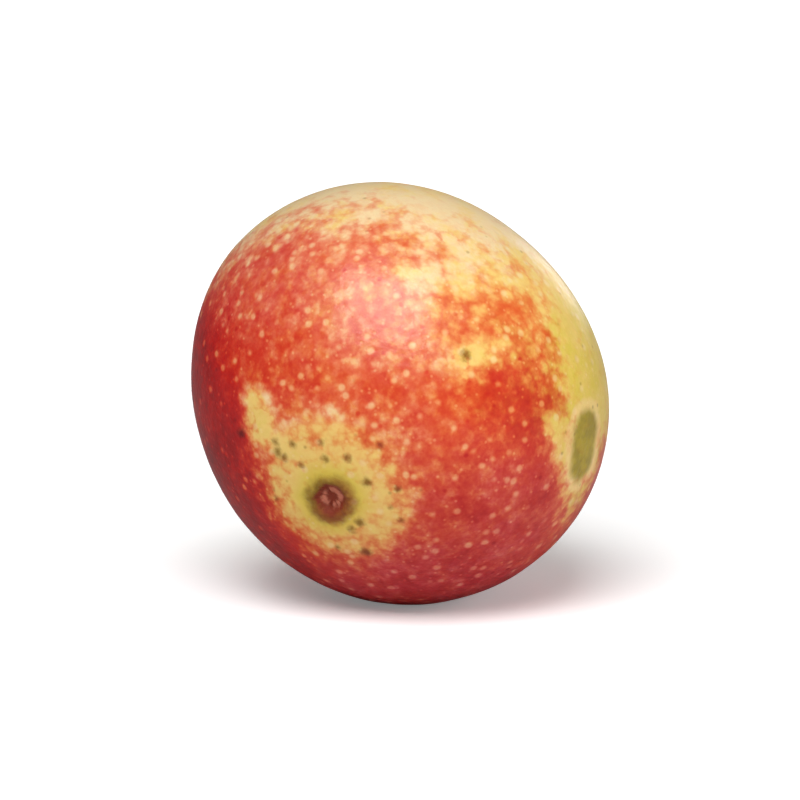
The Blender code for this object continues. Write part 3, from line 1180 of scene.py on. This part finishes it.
# painted reflection: the floor colours that only the skin's shine sees, darker on the left
DARK_PAINTED_REFLECTION, BRIGHT_PAINTED_REFLECTION = colour(0.30, 0.24, 0.24), colour(0.50, 0.43, 0.44)
PAINTED_REFLECTION_EDGES = (-0.005, 0.030)
GLOW_REACH, NEAR_GLOW, FAR_GLOW = (0.005, 0.22), 0.20, 0.80


def floor_material():
    """White paper coloured by the kind of ray, with a painted reflection and a glow that grows
    further off.
    """
    material, tree, shader = with_nodes(bpy.data.materials, "white_sweep")
    rays = node(tree, "ShaderNodeLightPath").outputs
    place = node(tree, "ShaderNodeTexCoord").outputs["Object"]
    right = node(tree, "ShaderNodeSeparateXYZ", {0: place}).outputs["X"]
    far = node(tree, "ShaderNodeVectorMath", {0: place}, operation="LENGTH").outputs["Value"]
    painted_reflection = mix(tree, remap(tree, right, *PAINTED_REFLECTION_EDGES), DARK_PAINTED_REFLECTION, BRIGHT_PAINTED_REFLECTION)
    paper = mix(tree, rays["Is Glossy Ray"], BOUNCED_WHITE, painted_reflection)
    paper = mix(tree, rays["Is Camera Ray"], paper, SEEN_WHITE)
    glow = remap(tree, far, *GLOW_REACH, NEAR_GLOW, FAR_GLOW)
    glow = times(tree, rays["Is Camera Ray"], glow)
    wire(tree, shader, {
        "Base Color": paper, "Emission Color": WHITE, "Emission Strength": glow,
        "Roughness": 0.9, "Specular IOR Level": 0.1,
    })
    return material


half = FLOOR_SIDE / 2.0
floor_mesh = bpy.data.meshes.new("floor")
corners = [(-half, -half, 0.0), (half, -half, 0.0), (half, half, 0.0), (-half, half, 0.0)]
floor_mesh.from_pydata(corners, [], [(0, 1, 2, 3)])
floor_mesh.materials.append(floor_material())
floor = placed("floor", floor_mesh)
floor.location = (0.0, 0.0, -FLOOR_DROP)
print("the floor is", FLOOR_SIDE, "m wide")

# %% [markdown]
# ## Lights
#
# A soft light above and a little left of the camera makes the broad shine at the upper left. A
# wide one at the right fills the shade, and the skin doesn't mirror it, as no second shine shows
# there. A small one behind draws the bright line along the right edge.

# %% Lights
FRUIT_MIDDLE = Vector((0.0, 0.0, 12.5 * MM))
WORLD_SEEN, WORLD_LIGHT = 1.03, 0.15


def soft_light(name, way, distance, side, power, shows=True):
    """A square area light that way from the fruit, facing it; shows says if the skin mirrors it."""
    data = bpy.data.lights.new(name, "AREA")
    data.shape = "SQUARE"
    data.size = side
    data.energy = power
    lamp = placed(name, data)
    way = Vector(way).normalized()
    lamp.location = FRUIT_MIDDLE + way * distance
    lamp.rotation_euler = way.to_track_quat("Z", "Y").to_euler()
    lamp.visible_glossy = shows


soft_light("key_softbox", (-0.14, -0.57, 0.81), 0.45, 0.31, 2.34)
soft_light("fill_softbox", (0.90, -0.30, 0.22), 0.50, 0.40, 1.25, shows=False)
soft_light("back_softbox", (0.40, 0.91, 0.12), 0.50, 0.10, 0.12)

world, sky, background = with_nodes(bpy.data.worlds, "studio")
bpy.context.scene.world = world
seen_directly = node(sky, "ShaderNodeLightPath").outputs["Is Camera Ray"]
strength = times(sky, seen_directly, WORLD_SEEN - WORLD_LIGHT)
strength = maths(sky, "ADD", strength, WORLD_LIGHT)
wire(sky, background, {"Color": WHITE, "Strength": strength})
bpy.context.scene.view_settings.view_transform = "Standard"

# %% [markdown]
# ## Camera
#
# The photo looks down by about twelve degrees from far off. So the camera stands 0.6 m away with
# a very long lens. The fruit is as wide as the photo's subject and on its ground line.

# %% Camera
CAMERA_DISTANCE = 0.60
SENSOR_WIDTH = 36.0
FRAME_PIXELS = 800
FRUIT_PIXELS = 418
GROUND_LINE_PIXEL = 605

fruit_width = cad_high[0] - cad_low[0]
mm_per_pixel = fruit_width / MM / FRUIT_PIXELS
frame_width = mm_per_pixel * FRAME_PIXELS * MM
below_middle = (GROUND_LINE_PIXEL - FRAME_PIXELS / 2) * mm_per_pixel

shown_foot = (form @ EYE_UP).min()
aim_height = (shown_foot + below_middle) / math.cos(CAMERA_RISE) * MM
camera_data = bpy.data.cameras.new("camera")
camera_data.sensor_width = SENSOR_WIDTH
camera_data.lens = SENSOR_WIDTH * CAMERA_DISTANCE / frame_width
camera = placed("camera", camera_data)
camera.location = Vector((0.0, 0.0, aim_height)) + Vector(EYE_NEAR) * CAMERA_DISTANCE
camera.rotation_euler = Vector(EYE_NEAR).to_track_quat("Z", "Y").to_euler()
bpy.context.scene.camera = camera
print("lens in mm:", round(camera_data.lens, 1), "aim height in mm:", round(aim_height / MM, 2))

# %% [markdown]
# ## Close the lesson
#
# The view layer is brought up to date, so that the scene is ready.

# %% Finish
bpy.context.view_layer.update()
